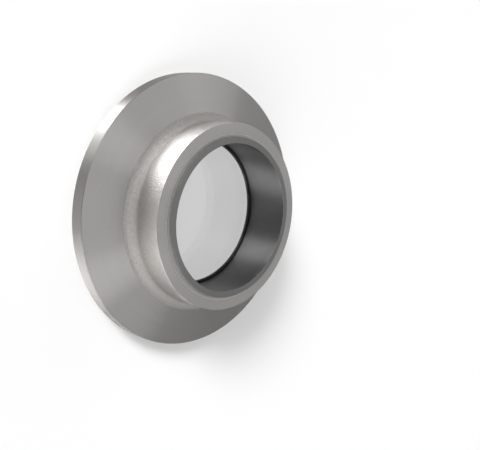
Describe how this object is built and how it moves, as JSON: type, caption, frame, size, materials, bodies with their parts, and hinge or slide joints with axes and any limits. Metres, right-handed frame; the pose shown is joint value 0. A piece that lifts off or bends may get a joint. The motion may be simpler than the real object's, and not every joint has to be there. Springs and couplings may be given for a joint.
{
  "type": "vacuum viewport",
  "caption": "Small-flange vacuum viewport: a turned steel flange with a clamping cone and a short neck, whose brazed sleeve holds a sealed glass window.",
  "frame": {"origin": "centre of the sealing face, on the viewport's axis", "axes": "+Z along the viewport's axis, from the sealing face towards the end of the neck"},
  "size_m": [0.055, 0.055, 0.0135],
  "materials": {
    "flange": "fine turned, satin",
    "sleeve": "dark satin",
    "window": "clear, polished",
    "seal": "black, glossy",
    "braze": "satin"
  },
  "bodies": {
    "root": {"flange": "flange", "sleeve": "sleeve", "window": "window", "glass_seal": "seal", "braze_fillet": "braze"}
  },
  "joints": []
}
